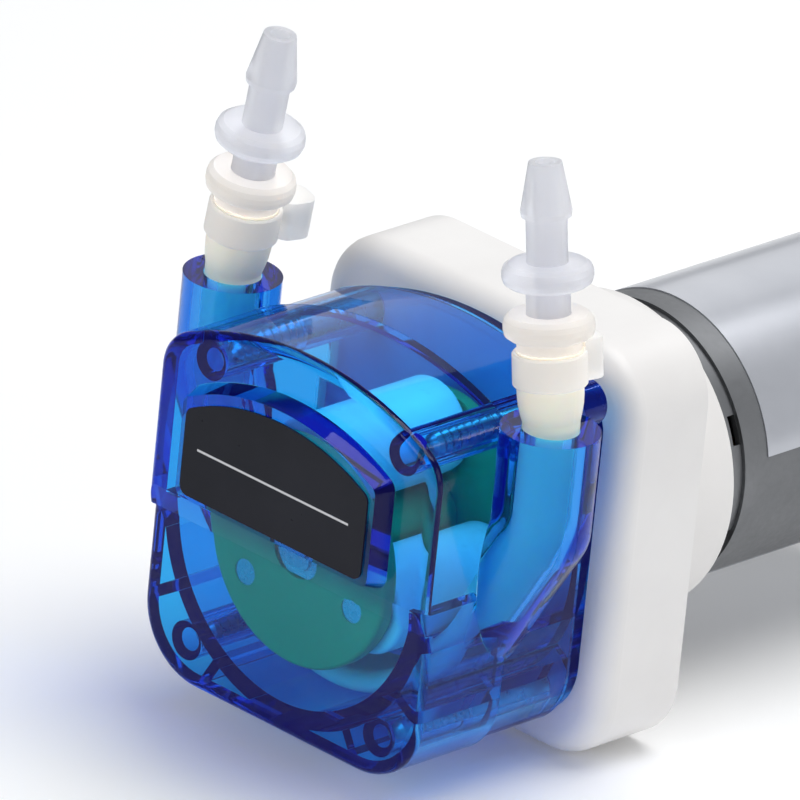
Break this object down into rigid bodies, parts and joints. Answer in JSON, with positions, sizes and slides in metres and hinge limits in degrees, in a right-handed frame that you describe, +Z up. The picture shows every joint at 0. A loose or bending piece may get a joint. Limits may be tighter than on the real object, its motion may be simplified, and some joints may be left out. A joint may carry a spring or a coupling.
{
  "type": "peristaltic pump",
  "caption": "Peristaltic tube pump with a clear blue arched head, green rotor with white rollers, white square base plate, hose barbs on top and a DC motor behind.",
  "frame": {"origin": "on the motor and rotor axis, in the plane of the base plate's back rim that lies against a panel", "axes": "+Y along the motor axis from the pump head to the motor, +Z up towards the hose barbs, +X to the outlet side as seen from the front"},
  "size_m": [0.0606, 0.1076, 0.0761],
  "materials": {
    "clear_blue": "transparent blue polycarbonate, polished",
    "label_black": "printed satin film",
    "screw_steel": "zinc plated",
    "tube_cream": "smooth cream elastomer",
    "milky_clear": "milky translucent polypropylene",
    "milky_collar": "milky translucent, slightly warm",
    "tie_nylon": "natural nylon",
    "white_plastic": "fine satin mould texture",
    "bronze": "sintered bronze",
    "gear_plastic": "natural acetal",
    "can_steel": "grey drawn steel, satin",
    "film_grey": "silver-grey printed film",
    "magnet_dark": "ferrite",
    "black_plastic": "moulded black",
    "tinned_brass": "tinned",
    "carbon": "carbon block",
    "rotor_green": "translucent green",
    "shaft_steel": "ground steel",
    "carrier_steel": "pressed steel",
    "brass": "machined brass",
    "core_steel": "laminated electrical steel",
    "copper_wire": "enamelled copper wire",
    "commutator_copper": "turned copper",
    "roller_white": "smooth acetal"
  },
  "bodies": {
    "pump_frame": {"front_shell": "clear_blue", "rear_shell": "clear_blue", "label_plate": "label_black", "shell_screws": "screw_steel", "pump_tube": "tube_cream", "inlet_connector": "milky_clear", "inlet_collar": "milky_collar", "inlet_tie": "tie_nylon", "outlet_connector": "milky_clear", "outlet_collar": "milky_collar", "outlet_tie": "tie_nylon", "base_plate": "white_plastic", "output_bush_front": "bronze", "output_bush_rear": "bronze", "ring_gear": "gear_plastic", "motor_can": "can_steel", "motor_label": "film_grey", "motor_magnets": "magnet_dark", "motor_end_cap": "black_plastic", "motor_terminals": "tinned_brass", "motor_brushes": "carbon", "motor_bush_front": "bronze", "motor_bush_rear": "bronze"},
    "rotor": {"rotor_front_disc": "rotor_green", "rotor_rear_disc": "rotor_green", "rotor_hub": "rotor_green", "rotor_clip": "shaft_steel", "roller_pins": "shaft_steel", "output_shaft": "shaft_steel", "planet_carrier": "carrier_steel", "planet_pins": "shaft_steel"},
    "roller_1": {"roller_1": "roller_white"},
    "roller_2": {"roller_2": "roller_white"},
    "roller_3": {"roller_3": "roller_white"},
    "planet_1": {"planet_gear_1": "gear_plastic"},
    "planet_2": {"planet_gear_2": "gear_plastic"},
    "planet_3": {"planet_gear_3": "gear_plastic"},
    "armature": {"motor_shaft": "shaft_steel", "sun_gear": "brass", "armature_core": "core_steel", "armature_windings": "copper_wire", "commutator": "commutator_copper"}
  },
  "joints": [
    {"name": "rotor_spin", "type": "hinge", "parent": "pump_frame", "child": "rotor", "pos_m": [0, 0, 0], "axis": [0, 1, 0], "continuous": true},
    {"name": "roller_1_spin", "type": "hinge", "parent": "rotor", "child": "roller_1", "pos_m": [-0.00769, 0, -0.00558], "axis": [0, 1, 0], "continuous": true},
    {"name": "roller_2_spin", "type": "hinge", "parent": "rotor", "child": "roller_2", "pos_m": [0.00868, 0, -0.00386], "axis": [0, 1, 0], "continuous": true},
    {"name": "roller_3_spin", "type": "hinge", "parent": "rotor", "child": "roller_3", "pos_m": [-0.00099, 0, 0.00945], "axis": [0, 1, 0], "continuous": true},
    {"name": "planet_1_spin", "type": "hinge", "parent": "rotor", "child": "planet_1", "pos_m": [0, 0, 0.0096], "axis": [0, 1, 0], "continuous": true},
    {"name": "planet_2_spin", "type": "hinge", "parent": "rotor", "child": "planet_2", "pos_m": [-0.00831, 0, -0.0048], "axis": [0, 1, 0], "continuous": true},
    {"name": "planet_3_spin", "type": "hinge", "parent": "rotor", "child": "planet_3", "pos_m": [0.00831, 0, -0.0048], "axis": [0, 1, 0], "continuous": true},
    {"name": "armature_spin", "type": "hinge", "parent": "pump_frame", "child": "armature", "pos_m": [0, 0, 0], "axis": [0, 1, 0], "continuous": true}
  ],
  "couplings": [
    {"joint": "roller_1_spin", "follows": "rotor_spin", "ratio": -2.6964},
    {"joint": "roller_2_spin", "follows": "rotor_spin", "ratio": -2.6964},
    {"joint": "roller_3_spin", "follows": "rotor_spin", "ratio": -2.6964},
    {"joint": "planet_1_spin", "follows": "rotor_spin", "ratio": -3},
    {"joint": "planet_2_spin", "follows": "rotor_spin", "ratio": -3},
    {"joint": "planet_3_spin", "follows": "rotor_spin", "ratio": -3},
    {"joint": "armature_spin", "follows": "rotor_spin", "ratio": 4}
  ]
}
